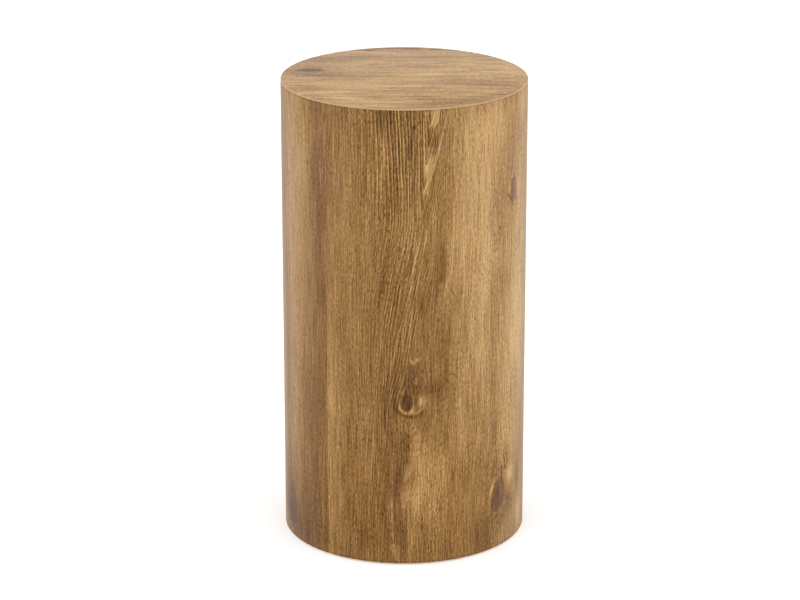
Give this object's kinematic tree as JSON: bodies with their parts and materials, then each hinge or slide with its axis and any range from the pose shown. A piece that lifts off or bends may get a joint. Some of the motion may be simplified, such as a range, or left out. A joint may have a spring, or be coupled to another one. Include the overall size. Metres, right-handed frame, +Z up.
{
  "type": "drum side table",
  "caption": "Tall round drum side table: a flush flat top and a kerf-bent wall dressed in wood-grain laminate over a hidden spool frame, standing on low plastic glides.",
  "frame": {"origin": "on the floor under the drum's axis", "axes": "+Z up along the drum's axis, the pictured front towards -Y, +X to the right of the picture"},
  "size_m": [0.26, 0.26, 0.5],
  "materials": {
    "top_decor": "satin printed wood-grain laminate",
    "side_decor": "satin printed wood-grain laminate",
    "fibreboard": "raw medium-density fibreboard",
    "softwood": "planed softwood",
    "zinc_steel": "zinc plated",
    "glide_plastic": "moulded, matte"
  },
  "bodies": {
    "root": {"top_laminate": "top_decor", "side_laminate": "side_decor", "drum_wall": "fibreboard", "seam_batten": "softwood", "top_panel": "fibreboard", "base_panel": "fibreboard", "lower_former": "fibreboard", "upper_former": "fibreboard", "post_front_left": "softwood", "post_front_right": "softwood", "post_back_left": "softwood", "post_back_right": "softwood", "base_screws": "zinc_steel", "glide_front": "glide_plastic", "glide_right": "glide_plastic", "glide_back": "glide_plastic", "glide_left": "glide_plastic", "glide_pins": "zinc_steel"}
  },
  "joints": []
}
